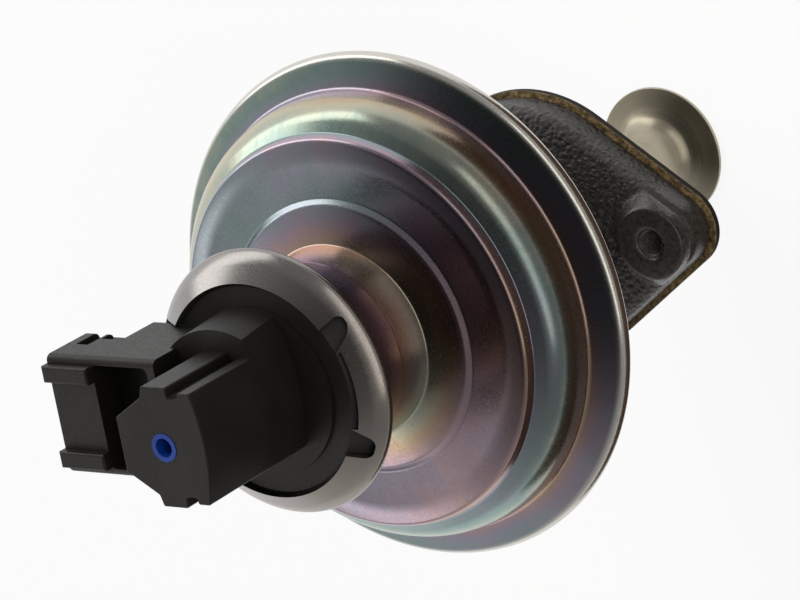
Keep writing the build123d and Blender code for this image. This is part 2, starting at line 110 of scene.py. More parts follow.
def drawSection(name, points, roundings):
    # an open section line in the XZ plane, in millimetres, extruded point by point;
    # roundings holds one radius for each inner corner
    deselectAll()
    bpy.ops.mesh.primitive_plane_add(size=mm, location=(0, 0, 0))
    piece = bpy.context.object
    piece.name = name
    editOn()
    bpy.ops.mesh.select_mode(type="VERT")
    bpy.ops.mesh.merge(type="CENTER")
    bpy.ops.transform.translate(value=(points[0][0] * mm, 0, points[0][1] * mm))
    for (r0, z0), (r1, z1) in zip(points, points[1:]):
        step = ((r1 - r0) * mm, 0, (z1 - z0) * mm)
        bpy.ops.mesh.extrude_region_move(TRANSFORM_OT_translate={"value": step})
    editOff()
    for (before, corner, after), radius in zip(zip(points, points[1:], points[2:]), roundings):
        if not radius:
            continue
        inward = Vector(corner) - Vector(before)
        outward = Vector(after) - Vector(corner)
        turn = inward.angle(outward)
        place = Vector((corner[0] * mm, 0, corner[1] * mm))
        selectWhere(piece, "vertices", lambda v: (v.co - place).length < 1e-6)
        makeActive(piece)
        editOn()
        bpy.ops.mesh.bevel(
            offset_type="OFFSET", offset=radius * mm * math.tan(turn / 2), affect="VERTICES",
            segments=max(3, round(3 + turn * 5)), clamp_overlap=False)
        editOff()
    return piece


def spinSection(piece, steps=240):
    makeActive(piece)
    editOn()
    bpy.ops.mesh.select_all(action="SELECT")
    bpy.ops.mesh.spin(steps=steps, angle=2 * math.pi, center=(0, 0, 0), axis=(0, 0, 1))
    bpy.ops.mesh.select_all(action="SELECT")
    bpy.ops.mesh.remove_doubles(threshold=1e-6)
    bpy.ops.mesh.normals_make_consistent(inside=False)
    editOff()
    return piece


def faceUp(piece, height, reach):
    # turns the skin over if the level face at this height and reach points down
    best = min(piece.data.polygons, key=lambda f: (
        abs(f.center.z - height * mm) + abs(f.center.xy.length - reach * mm)))
    if best.normal.z < 0:
        makeActive(piece)
        editOn()
        bpy.ops.mesh.select_all(action="SELECT")
        bpy.ops.mesh.flip_normals()
        editOff()


def smoothByAngle(piece, degrees):
    makeActive(piece)
    bpy.ops.object.shade_smooth_by_angle(angle=math.radians(degrees))


def cutAway(piece, cutter):
    addModifier(piece, "BOOLEAN", operation="DIFFERENCE", object=cutter, solver="EXACT")
    bpy.data.objects.remove(cutter)


def mergedCopy(name, node):
    # a welded copy of a node, with its level faces made whole again
    piece = nodes[node].copy()
    piece.data = nodes[node].data.copy()
    piece.name = name
    piece.parent = None
    for key in list(piece.keys()):
        del piece[key]
    bpy.context.scene.collection.objects.link(piece)
    piece.data.materials.clear()
    makeActive(piece)
    editOn()
    bpy.ops.mesh.select_all(action="SELECT")
    bpy.ops.mesh.remove_doubles(threshold=2e-6)
    bpy.ops.mesh.dissolve_limited(angle_limit=math.radians(1.0))
    editOff()
    return piece


def hexColour(text):
    # sRGB hex to linear RGBA
    channels = [int(text[i:i + 2], 16) / 255 for i in (0, 2, 4)]
    linear = [c / 12.92 if c <= 0.04045 else ((c + 0.055) / 1.055) ** 2.4 for c in channels]
    return (*linear, 1.0)


def setInputs(tree, node, settings):
    # each setting is a property, an input's value, a ramp's stops, or what feeds an input:
    # a node's first output, or a node with the output's name
    for key, value in settings.items():
        if isinstance(value, bpy.types.Node):
            tree.links.new(value.outputs[0], node.inputs[key])
        elif isinstance(value, tuple) and isinstance(value[0], bpy.types.Node):
            tree.links.new(value[0].outputs[value[1]], node.inputs[key])
        elif key == "stops":
            stops = node.color_ramp.elements
            while len(stops) < len(value):
                stops.new(0.5)
            for stop, (place, colour) in zip(stops, value):
                stop.position = place
                stop.color = hexColour(colour) if isinstance(colour, str) else (colour,) * 3 + (1.0,)
        elif isinstance(key, str) and hasattr(node, key):
            setattr(node, key, value)
        else:
            node.inputs[key].default_value = value


def addNode(tree, kind, settings=None):
    node = tree.nodes.new(kind)
    setInputs(tree, node, settings or {})
    return node


def newMaterial(name):
    material = bpy.data.materials.new(name)
    material.use_nodes = True
    tree = material.node_tree
    return material, tree, tree.nodes["Principled BSDF"]


def patternScale(sizeMm):
    # gives a pattern main lumps of about this size
    return 1 / (sizeMm * mm)


def splitPlace(tree, place):
    # a place in parts, and the same place laid flat on the level of the flange
    split = addNode(tree, "ShaderNodeSeparateXYZ", {"Vector": place})
    flat = addNode(tree, "ShaderNodeCombineXYZ", {"X": (split, "X"), "Y": (split, "Y")})
    return split, flat


def facingSide(tree, unit, degrees):
    # 1 on that side of the axis and -1 on the other
    side = math.radians(degrees)
    return addNode(tree, "ShaderNodeVectorMath", {
        "operation": "DOT_PRODUCT", 0: unit, 1: (math.cos(side), math.sin(side), 0)}), "Value"


# where most of a noise pattern's values lie
noiseRange = {"From Min": 0.3, "From Max": 0.7}

passivation = {
    "tealSide": 150.0,        # degrees from +X where the film looks green
    "cycle": [                # one run through the film's colours, as it thickens
        (0.0, "8CA9A4"), (0.16, "9FAAB6"), (0.3, "B0A4B8"), (0.44, "C4A5AB"),
        (0.58, "CDAF90"), (0.7, "CBC2A6"), (0.84, "B6BFAE"), (1.0, "8CA9A4")],
    # places up the section, from the rim at 0 to the throat at 1, with the film's place in its cycle
    "phaseLow": [(0.02, 0.02), (0.1, 0.12), (0.16, 0.43), (0.2, 0.56), (0.27, 0.8), (0.36, 0.98)],
    "phaseHigh": [
        (0.38, 0.0), (0.41, 0.42), (0.44, 0.3), (0.6, 0.2), (0.66, 0.36), (0.74, 0.62),
        (0.8, 0.66), (0.9, 0.36)],
    "sectionLength": 60,
    "phaseStart": 0.61,
    "uneven": (0.22, -0.14, 0.5, 0.12),   # shares of the streaks, the side, the drift and the mottle
    "driftMm": 22, "mottleMm": 4,
    "streakReach": 35, "streakRise": 0.12,
    "silver": "8E8D87",
    "filmAmount": 0.78,
    "cupFrom": [(0.76, 0.0), (0.79, 1.0)],   # heights in decimetres where the cup starts
    "cupThins": -0.62,
    "paintedShadeSide": 12.0,         # degrees from +X where the film is thicker and painted deep purple-brown, partly its own colour and partly painted shade for the dark reflections on that side
    "paintedShadeFilm": "54424A",
    "paintedShadeFrom": [(0.6, 0.0), (1.0, 0.4)],
    "roughness": (0.17, 0.28),
    "speckMm": 0.4, "streakMm": 1.6, "lineMm": 0.7, "waveMm": 9,
    # depth in mm and strength of the lines, streaks, specks and waves
    "bumps": [(0.005, 0.3), (0.016, 0.3), (0.001, 0.3), (0.12, 0.35)],
    "rimWearAndHighlight": (43.6, 44.5),  # the film is rubbed off the rolled edge beyond these reaches, and the edge is painted pale there, partly bare zinc and partly a painted highlight
    "rubbedHighlitEdge": "D2CFC8",
}


def makePassivatedZinc():
    # zinc plate with an iridescent chromate film: a satin metal whose film runs through
    # green, lavender, rose and straw as it thickens along the pressing
    look = passivation
    material, tree, shader = newMaterial("iridescentPassivatedZinc")
    place = (addNode(tree, "ShaderNodeTexCoord"), "Object")
    split, flat = splitPlace(tree, place)
    reach = (addNode(tree, "ShaderNodeVectorMath", {"operation": "LENGTH", 0: flat}), "Value")
    unit = addNode(tree, "ShaderNodeVectorMath", {"operation": "NORMALIZE", 0: flat})
    facing = facingSide(tree, unit, look["tealSide"])
    drift = addNode(tree, "ShaderNodeTexNoise", {
        "Scale": patternScale(look["driftMm"]), "Detail": 2.0, "Roughness": 0.5, "Vector": place})
    mottle = addNode(tree, "ShaderNodeTexNoise", {
        "Scale": patternScale(look["mottleMm"]), "Detail": 4.0, "Roughness": 0.6, "Vector": place})
    along = addNode(tree, "ShaderNodeMath", {"operation": "SUBTRACT", 0: (split, "Z"), 1: reach})
    along = addNode(tree, "ShaderNodeMath", {
        "operation": "MULTIPLY", 0: along, 1: patternScale(look["sectionLength"])})
    low = addNode(tree, "ShaderNodeValToRGB", {"Fac": along, "stops": look["phaseLow"]})
    high = addNode(tree, "ShaderNodeValToRGB", {"Fac": along, "stops": look["phaseHigh"]})
    # drawing streaks run up the pressing, so their noise hardly changes that way
    spread = addNode(tree, "ShaderNodeVectorMath", {
        "operation": "SCALE", 0: unit, "Scale": look["streakReach"] * mm})
    rise = addNode(tree, "ShaderNodeMath", {"operation": "MULTIPLY", 0: reach, 1: look["streakRise"]})
    rise = addNode(tree, "ShaderNodeCombineXYZ", {"Z": rise})
    lengthwise = addNode(tree, "ShaderNodeVectorMath", {"operation": "ADD", 0: spread, 1: rise})
    streak = addNode(tree, "ShaderNodeTexNoise", {
        "Scale": patternScale(look["streakMm"]), "Detail": 4.0, "Roughness": 0.65, "Vector": lengthwise})
    # the film's thickness, as a place in its cycle of colours
    film = addNode(tree, "ShaderNodeMath", {"operation": "ADD", 0: low, 1: high})
    for source, share in zip((streak, facing, drift, mottle), look["uneven"]):
        part = addNode(tree, "ShaderNodeMath", {"operation": "MULTIPLY", 0: source, 1: share})
        film = addNode(tree, "ShaderNodeMath", {"operation": "ADD", 0: film, 1: part})
    film = addNode(tree, "ShaderNodeMath", {"operation": "ADD", 0: film, 1: look["phaseStart"]})
    film = addNode(tree, "ShaderNodeMath", {"operation": "FRACT", 0: film})
    cycle = addNode(tree, "ShaderNodeValToRGB", {"Fac": film, "stops": look["cycle"]})
    # the crimped cup keeps a thinner film
    height = addNode(tree, "ShaderNodeMath", {"operation": "MULTIPLY", 0: (split, "Z"), 1: 10.0})
    cup = addNode(tree, "ShaderNodeValToRGB", {"Fac": height, "stops": look["cupFrom"]})
    amount = addNode(tree, "ShaderNodeMath", {
        "operation": "MULTIPLY_ADD", 0: cup, 1: look["cupThins"], 2: look["filmAmount"]})
    colour = addNode(tree, "ShaderNodeMix", {
        "data_type": "RGBA", 0: amount, 6: hexColour(look["silver"]), 7: cycle})
    # painted shade: the near side is darkened to deep purple-brown, partly the film's own colour and
    # partly standing in for the dark reflections there
    blotch = addNode(tree, "ShaderNodeMath", {
        "operation": "MULTIPLY_ADD", 0: drift, 1: 0.5, 2: facingSide(tree, unit, look["paintedShadeSide"])})
    paintedShade = addNode(tree, "ShaderNodeValToRGB", {"Fac": blotch, "stops": look["paintedShadeFrom"]})
    below = addNode(tree, "ShaderNodeMath", {"operation": "SUBTRACT", 0: 1.0, 1: cup})
    paintedShade = addNode(tree, "ShaderNodeMath", {"operation": "MULTIPLY", 0: paintedShade, 1: below})
    colour = addNode(tree, "ShaderNodeMix", {
        "data_type": "RGBA", 0: paintedShade, 6: (colour, 2), 7: hexColour(look["paintedShadeFilm"])})
    # painted highlight: the rolled edge is painted pale, partly the rubbed bare zinc and partly standing
    # in for the bright reflection along it
    wornHighlitFrom, wornHighlitTo = look["rimWearAndHighlight"]
    wornHighlitRim = addNode(tree, "ShaderNodeMapRange", {
        "From Min": wornHighlitFrom * mm, "From Max": wornHighlitTo * mm, "Value": reach})
    colour = addNode(tree, "ShaderNodeMix", {
        "data_type": "RGBA", 0: wornHighlitRim, 6: (colour, 2), 7: hexColour(look["rubbedHighlitEdge"])})
    # the press leaves a fine satin grain, lines round the axis and shallow waves
    speck = addNode(tree, "ShaderNodeTexNoise", {
        "Scale": patternScale(look["speckMm"]), "Detail": 3.0, "Roughness": 0.6, "Vector": place})
    rough = addNode(tree, "ShaderNodeMapRange", {
        **noiseRange, "To Min": look["roughness"][0], "To Max": look["roughness"][1], "Value": speck})
    line = addNode(tree, "ShaderNodeCombineXYZ", {"X": reach, "Y": (split, "Z")})
    draw = addNode(tree, "ShaderNodeTexNoise", {
        "Scale": patternScale(look["lineMm"]), "Detail": 3.0, "Roughness": 0.6, "Vector": line})
    waves = addNode(tree, "ShaderNodeTexNoise", {
        "Scale": patternScale(look["waveMm"]), "Detail": 2.0, "Roughness": 0.4, "Vector": place})
    under = {}
    for pattern, (depth, strength) in zip((draw, streak, speck, waves), look["bumps"]):
        bump = addNode(tree, "ShaderNodeBump", {
            "Strength": strength, "Distance": depth * mm, "Height": pattern, **under})
        under = {"Normal": bump}
    setInputs(tree, shader, {
        "Base Color": (colour, 2), "Metallic": 1.0, "Roughness": rough, "Normal": bump})
    return material


castIronLook = {
    "colour": ("201F1D", "3A3835"),
    "roughness": (0.22, 0.46),
    "sandMm": 0.85, "sandDepth": 0.42,
    "grainMm": 0.25, "grainDepth": 0.05,
    "bossAt": 28.3, "bossSmooth": (7.5, 10),   # the sand fades in at these distances from a bolt hole
}


def makeSandCastIron():
    # grey iron from a sand mould, oiled: dark, with the sand's grain standing on the skin
    look = castIronLook
    material, tree, shader = newMaterial("sandCastGreyIron")
    place = (addNode(tree, "ShaderNodeTexCoord"), "Object")
    sand = addNode(tree, "ShaderNodeTexNoise", {
        "Scale": patternScale(look["sandMm"]), "Detail": 4.0, "Roughness": 0.6, "Vector": place})
    grain = addNode(tree, "ShaderNodeTexNoise", {
        "Scale": patternScale(look["grainMm"]), "Detail": 2.0, "Roughness": 0.5, "Vector": place})
    dark, light = look["colour"]
    colour = addNode(tree, "ShaderNodeValToRGB", {"Fac": sand, "stops": [(0.35, dark), (0.7, light)]})
    rough = addNode(tree, "ShaderNodeMapRange", {
        **noiseRange, "To Min": look["roughness"][0], "To Max": look["roughness"][1], "Value": grain})
    cells = addNode(tree, "ShaderNodeTexVoronoi", {
        "feature": "SMOOTH_F1", "Scale": patternScale(look["sandMm"]), "Smoothness": 0.6,
        "Vector": place})
    lumps = addNode(tree, "ShaderNodeMath", {
        "operation": "MULTIPLY_ADD", 0: (cells, "Distance"), 1: -0.8, 2: sand})
    # the bosses' sides are smoother than the rest
    split = addNode(tree, "ShaderNodeSeparateXYZ", {"Vector": place})
    aside = addNode(tree, "ShaderNodeMath", {"operation": "ABSOLUTE", 0: (split, "X")})
    aside = addNode(tree, "ShaderNodeMath", {"operation": "SUBTRACT", 0: aside, 1: look["bossAt"] * mm})
    flat = addNode(tree, "ShaderNodeCombineXYZ", {"X": aside, "Y": (split, "Y")})
    fromHole = (addNode(tree, "ShaderNodeVectorMath", {"operation": "LENGTH", 0: flat}), "Value")
    smoothTo, sandyFrom = look["bossSmooth"]
    away = addNode(tree, "ShaderNodeMapRange", {
        "From Min": smoothTo * mm, "From Max": sandyFrom * mm, "To Min": 0.1, "Value": fromHole})
    lumps = addNode(tree, "ShaderNodeMath", {"operation": "MULTIPLY", 0: lumps, 1: away})
    first = addNode(tree, "ShaderNodeBump", {
        "Strength": 1.0, "Distance": look["sandDepth"] * mm, "Height": lumps})
    bump = addNode(tree, "ShaderNodeBump", {
        "Strength": 0.5, "Distance": look["grainDepth"] * mm, "Height": grain, "Normal": first})
    setInputs(tree, shader, {
        "Base Color": colour, "Roughness": rough, "Specular IOR Level": 0.8, "Normal": bump})
    return material


gasketLook = {
    "sheet": 1.8,             # thickness of the fibre sheet, mm
    "strandMm": 0.9, "wobble": 0.3,
    "fuzzMm": 0.6, "fuzzDepth": 0.08,
    "skinFrom": [(0.66, 0.0), (0.74, 1.0)],   # shares of the sheet's thickness where the darker colour low on its edge ends
    "lower": "17130F",
    "strands": [(0.36, "241C13"), (0.5, "5B4B31"), (0.66, "8A7650")],
}


def makeFibreGasket():
    # pressed fibre sheet, darker towards the bottom of its cut edge
    look = gasketLook
    material, tree, shader = newMaterial("layeredFibreGasket")
    place = (addNode(tree, "ShaderNodeTexCoord"), "Object")
    split = addNode(tree, "ShaderNodeSeparateXYZ", {"Vector": place})
    wobble = addNode(tree, "ShaderNodeTexNoise", {
        "Scale": patternScale(3), "Detail": 3.0, "Roughness": 0.6, "Vector": place})
    strands = addNode(tree, "ShaderNodeTexNoise", {
        "Scale": patternScale(look["strandMm"]), "Detail": 4.0, "Roughness": 0.75, "Vector": place})
    level = addNode(tree, "ShaderNodeMath", {
        "operation": "MULTIPLY_ADD", 0: wobble, 1: look["wobble"] * mm, 2: (split, "Z")})
    level = addNode(tree, "ShaderNodeMath", {
        "operation": "MULTIPLY", 0: level, 1: patternScale(look["sheet"])})
    skin = addNode(tree, "ShaderNodeValToRGB", {"Fac": level, "stops": look["skinFrom"]})
    tan = addNode(tree, "ShaderNodeValToRGB", {"Fac": strands, "stops": look["strands"]})
    colour = addNode(tree, "ShaderNodeMix", {
        "data_type": "RGBA", 0: skin, 6: hexColour(look["lower"]), 7: tan})
    fuzz = addNode(tree, "ShaderNodeTexNoise", {
        "Scale": patternScale(look["fuzzMm"]), "Detail": 3.0, "Roughness": 0.6, "Vector": place})
    bump = addNode(tree, "ShaderNodeBump", {
        "Strength": 0.6, "Distance": look["fuzzDepth"] * mm, "Height": fuzz})
    setInputs(tree, shader, {"Base Color": (colour, 2), "Roughness": 0.8, "Normal": bump})
    return material


def makeTurnedSteel(name, colours, roughness, ringMm=0.35):
    # lathe turned metal: fine rings about the axis, and a tone that varies a little
    material, tree, shader = newMaterial(name)
    place = (addNode(tree, "ShaderNodeTexCoord"), "Object")
    split, flat = splitPlace(tree, place)
    reach = (addNode(tree, "ShaderNodeVectorMath", {"operation": "LENGTH", 0: flat}), "Value")
    line = addNode(tree, "ShaderNodeCombineXYZ", {"X": reach, "Y": (split, "Z")})
    rings = addNode(tree, "ShaderNodeTexNoise", {
        "Scale": patternScale(ringMm), "Detail": 4.0, "Roughness": 0.7, "Vector": line})
    blotch = addNode(tree, "ShaderNodeTexNoise", {
        "Scale": patternScale(6), "Detail": 3.0, "Roughness": 0.5, "Vector": place})
    blotch = addNode(tree, "ShaderNodeMath", {"operation": "MULTIPLY", 0: blotch, 1: 0.4})
    mixed = addNode(tree, "ShaderNodeMath", {"operation": "MULTIPLY", 0: rings, 1: 0.6})
    mixed = addNode(tree, "ShaderNodeMath", {"operation": "ADD", 0: mixed, 1: blotch})
    colour = addNode(tree, "ShaderNodeValToRGB", {
        "Fac": mixed, "stops": [(0.3, colours[0]), (0.7, colours[1])]})
    rough = addNode(tree, "ShaderNodeMapRange", {
        **noiseRange, "To Min": roughness[0], "To Max": roughness[1], "Value": rings})
    bump = addNode(tree, "ShaderNodeBump", {"Strength": 0.6, "Distance": 0.01 * mm, "Height": rings})
    setInputs(tree, shader, {
        "Base Color": colour, "Metallic": 1.0, "Roughness": rough, "Normal": bump})
    return material


def makeMoulded(name, colours, roughness, grainMm, depthMm):
    # moulded plastic or rubber: even colour, a fine spark-eroded grain and a soft sheen
    material, tree, shader = newMaterial(name)
    place = (addNode(tree, "ShaderNodeTexCoord"), "Object")
    flow = addNode(tree, "ShaderNodeTexNoise", {
        "Scale": patternScale(9), "Detail": 2.0, "Roughness": 0.4, "Vector": place})
    grain = addNode(tree, "ShaderNodeTexNoise", {
        "Scale": patternScale(grainMm), "Detail": 3.0, "Roughness": 0.6, "Vector": place})
    colour = addNode(tree, "ShaderNodeValToRGB", {
        "Fac": flow, "stops": [(0.3, colours[0]), (0.7, colours[1])]})
    rough = addNode(tree, "ShaderNodeMapRange", {
        **noiseRange, "To Min": roughness[0], "To Max": roughness[1], "Value": grain})
    bump = addNode(tree, "ShaderNodeBump", {"Strength": 0.5, "Distance": depthMm * mm, "Height": grain})
    setInputs(tree, shader, {"Base Color": colour, "Roughness": rough, "Normal": bump})
    return material


zincFilm = makePassivatedZinc()
castIron = makeSandCastIron()
fibre = makeFibreGasket()
turnedSteel = makeTurnedSteel("turnedHeatResistingSteel", ("A39B88", "BDB5A1"), (0.28, 0.4))
platedSteel = makeTurnedSteel("brightZincPlatedSteel", ("8E9296", "B4B8BC"), (0.24, 0.4), 0.8)
sinteredSteel = makeTurnedSteel("oilBlackSinteredSteel", ("3A3835", "5A5650"), (0.42, 0.6), 0.5)
springWire = makeTurnedSteel("drawnSpringWire", ("4E5054", "77797D"), (0.25, 0.42), 0.6)
tinnedBrass = makeTurnedSteel("tinnedBrass", ("A29C8E", "C2BCAD"), (0.2, 0.34), 0.5)
phosphorBronze = makeTurnedSteel("phosphorBronze", ("9A6B42", "BC8A5C"), (0.22, 0.36), 0.5)
blackNylon = makeMoulded("glassFilledBlackNylon", ("131210", "1B1917"), (0.4, 0.56), 0.35, 0.03)
naturalAcetal = makeMoulded("naturalAcetal", ("C9C4B4", "D5D0C2"), (0.3, 0.42), 0.3, 0.008)
blueNylon = makeMoulded("blueNylon", ("0A2C7A", "10398F"), (0.3, 0.42), 0.3, 0.008)
nitrileRubber = makeMoulded("nitrileRubber", ("121212", "1B1B1B"), (0.55, 0.75), 0.4, 0.03)
filledPtfe = makeMoulded("carbonFilledPtfe", ("2E2C2A", "3A3835"), (0.4, 0.55), 0.4, 0.01)
aluminaCeramic = makeMoulded("printedAluminaCeramic", ("B9B5A8", "C9C5B8"), (0.35, 0.5), 0.4, 0.005)

finishes = {
    "upper_cover": zincFilm, "lower_housing": zincFilm, "flange_body": castIron,
    "flange_gasket": fibre, "insulating_gasket": fibre,
    "valve_head": turnedSteel, "valve_stem": turnedSteel, "stop_collar": turnedSteel,
    "deposit_shield": turnedSteel, "guide_bush": sinteredSteel,
    "seal_retainer": platedSteel, "housing_screws": platedSteel, "lower_plate": platedSteel,
    "upper_plate": platedSteel, "stem_nut": platedSteel,
    "main_spring": springWire, "plunger_spring": springWire,
    "sensor_housing": blackNylon, "plunger_guide": blackNylon, "plunger": naturalAcetal,
    "slider": naturalAcetal, "port_sleeve": blueNylon, "diaphragm": nitrileRubber,
    "sensor_seal": nitrileRubber, "stem_seal": filledPtfe, "terminals": tinnedBrass,
    "wiper": phosphorBronze, "track_board": aluminaCeramic,
}
for node, finish in finishes.items():
    nodes[node].data.materials.clear()
    nodes[node].data.materials.append(finish)
print("materials made:", len(bpy.data.materials))


def finishPiece(piece, finish, body, slot, *replaced):
    piece.data.materials.clear()
    piece.data.materials.append(finish)
    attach(piece, body)
    if replaced:
        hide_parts(*replaced)


# a pressed sheet: its section in mm from the axis and in height, with a radius for each inner corner
coverSize = {
    "sheet": 1.0,
    "section": [              # its plateau is crowned a little, as the press leaves it
        (39.8, 44.1), (45.0, 44.1), (45.0, 46.6), (39.4, 48.8), (38.9, 54.9), (34.8, 57.9),
        (34.2, 59.8), (31.0, 60.35), (24.2, 59.95), (23.2, 61.0), (16.9, 62.3), (15.6, 67.6),
        (15.6, 80.2), (23.9, 80.2), (21.5, 83.2), (18.4, 85.78)],
    "corners": [1.2, 1.87, 1.0, 7.0, 0.4, 1.1, 9.0, 0.5, 1.2, 0.5, 3.0, 2.0, 1.15, 9.0],
    "slotLow": 81.6, "slotTop": 88.0, "slotReach": 21.7, "lipReach": 18.4, "slotRound": 1.2,
    # each slot's near side at the lip and at its end, then its far side at its end and at the lip
    "slotAngles": [(22.5, 29.5, 37.6, 37.0), (-17.5, -23.3, -32.5, -33.8)],
    "plugGap": 10.6, "plugGapFrom": (-45, -8), "plugLow": 82.6,   # the lip is open at the plug
    "cutBackReach": 19.2, "cutBackSteps": 12,
    "plateau": (60.1, 28),    # height and distance from the axis of a face that points up
}


def cutterFromOutline(name, outline, low, high):
    # an upright prism on an outline, in millimetres
    deselectAll()
    bpy.ops.mesh.primitive_circle_add(
        vertices=len(outline), radius=mm, fill_type="NGON", location=(0, 0, 0))
    cutter = bpy.context.object
    cutter.name = name
    for vertex, (x, y) in zip(cutter.data.vertices, outline):
        vertex.co = (x * mm, y * mm, low * mm)
    editOn()
    bpy.ops.mesh.select_all(action="SELECT")
    bpy.ops.mesh.extrude_region_move(TRANSFORM_OT_translate={"value": (0, 0, (high - low) * mm)})
    bpy.ops.mesh.select_all(action="SELECT")
    bpy.ops.mesh.normals_make_consistent(inside=False)
    editOff()
    return cutter


def makeCover():
    size = coverSize
    cover = drawSection("pressedCover", size["section"], size["corners"])
    spinSection(cover)
    faceUp(cover, *size["plateau"])
    addModifier(cover, "SOLIDIFY", thickness=size["sheet"] * mm, offset=-1)
    inside = size["lipReach"] - size["sheet"]
    for nearIn, nearOut, farOut, farIn in size["slotAngles"]:
        corners = [(inside, nearIn), (size["lipReach"], nearIn), (size["slotReach"], nearOut),
                   (size["slotReach"], farOut), (size["lipReach"], farIn), (inside, farIn)]
        slot = cutterFromOutline("lipSlot", onOutline(corners), size["slotLow"], size["slotTop"])
        outer = size["slotReach"] * mm * 0.97
        ends = [vertex.co.copy() for vertex in slot.data.vertices]
        selectWhere(slot, "edges", lambda e: all(
            ends[i].xy.length > outer for i in e.vertices) and abs(
            ends[e.vertices[0]].z - ends[e.vertices[1]].z) > mm)
        makeActive(slot)
        editOn()
        bpy.ops.mesh.select_mode(type="EDGE")
        bpy.ops.mesh.bevel(offset=size["slotRound"] * mm, segments=6, affect="EDGES")
        editOff()
        cutAway(cover, slot)
    # the lip is cut back a little between its two slots
    first, last = size["slotAngles"][1][0], size["slotAngles"][0][0]
    count = size["cutBackSteps"]
    steps = [first + (last - first) * step / count for step in range(count + 1)]
    arc = [(size["cutBackReach"], angle) for angle in steps]
    arc += [(inside, angle) for angle in reversed(steps)]
    cutAway(cover, cutterFromOutline("lipCutBack", onOutline(arc), size["slotLow"], size["slotTop"]))
    gap, (gapFar, gapNear) = size["plugGap"], size["plugGapFrom"]
    gapOutline = [(gapFar, -gap), (gapNear, -gap), (gapNear, gap), (gapFar, gap)]
    cutAway(cover, cutterFromOutline("plugGap", gapOutline, size["plugLow"], size["slotTop"]))
    smoothByAngle(cover, 32)
    finishPiece(cover, zincFilm, "housing", "zinc_plate", "upper_cover")


makeCover()
print("pressed cover made")


canSize = {
    "sheet": 1.0,
    "section": [(9.1, 31.8), (32.5, 31.8), (32.5, 45.1), (42.3, 45.1)],
    "corners": [3.0, 2.0],
    "screwHole": (2.1, 13.8, 90.0),   # radius, distance from the axis, first angle
    "ventHole": (1.5, 24.0, 30.0),
    "floorHeight": 32,
    "flange": (45.1, 38),     # height and distance from the axis of a face that points up
}


def makeCan():
    can = drawSection("diaphragmCan", canSize["section"], canSize["corners"])
    spinSection(can)
    faceUp(can, *canSize["flange"])
    addModifier(can, "SOLIDIFY", thickness=canSize["sheet"] * mm, offset=1)
    for radius, reach, start in (canSize["screwHole"], canSize["ventHole"]):
        for number in range(3):
            turn = math.radians(start + 120 * number)
            deselectAll()
            bpy.ops.mesh.primitive_cylinder_add(
                vertices=40, radius=radius * mm, depth=8 * mm,
                location=(reach * mm * math.cos(turn), reach * mm * math.sin(turn),
                          canSize["floorHeight"] * mm))
            cutAway(can, bpy.context.object)
    smoothByAngle(can, 32)
    finishPiece(can, zincFilm, "housing", "zinc_plate", "lower_housing")


makeCan()
print("diaphragm can made")


castSize = {
    "grainStep": 0.4,         # mesh step of the cast skin, mm
    "edgeSmoothing": 2,
    "sandLump": 0.9, "sandHeight": 0.42,
    "machined": [1.9, 30.3],  # below and above these heights the faces are machined
    "boltReach": 28.3,        # distance of each bolt hole from the axis
    # the skin is smooth within these distances of a bolt hole and of the bore, and on the bosses
    "holeSmooth": 2.9, "boreSmooth": 12.3, "boreTop": 9, "bossTop": 12.5, "bossWidth": 6.2,
    "threadLow": 2.3, "threadPitch": 1.0, "threadTurns": 8, "threadRoot": 2.55, "threadTip": 2.05,
}


def makeCastBody():
    # the sand's grain stands on the skin; machined faces and holes stay smooth
    size = castSize
    body = mergedCopy("castBody", "flange_body")
    addModifier(body, "REMESH", mode="VOXEL", voxel_size=size["grainStep"] * mm, adaptivity=0.0)
    addModifier(body, "SMOOTH", factor=0.5, iterations=size["edgeSmoothing"])
    skin = body.vertex_groups.new(name="castSkin")
    low, high = [height * mm for height in size["machined"]]
    for vertex in body.data.vertices:
        place = vertex.co
        inHole = math.hypot(abs(place.x) - size["boltReach"] * mm, place.y) / mm - size["holeSmooth"]
        inBore = 1.0
        if place.z < size["boreTop"] * mm:
            inBore = place.xy.length / mm - size["boreSmooth"]
        onBoss = place.z < size["bossTop"] * mm and inHole < size["bossWidth"]
        if low < place.z < high and not onBoss:
            skin.add([vertex.index], max(0.0, min(inHole, inBore, 1.0)), "REPLACE")
    sand = bpy.data.textures.new("sandGrain", "CLOUDS")
    sand.noise_scale = size["sandLump"] * mm
    sand.noise_depth = 2
    addModifier(body, "DISPLACE", texture=sand, texture_coords="LOCAL", vertex_group="castSkin",
                strength=size["sandHeight"] * mm, mid_level=0.5)
    smoothByAngle(body, 60)
    finishPiece(body, castIron, "housing", "cast_iron", "flange_body")


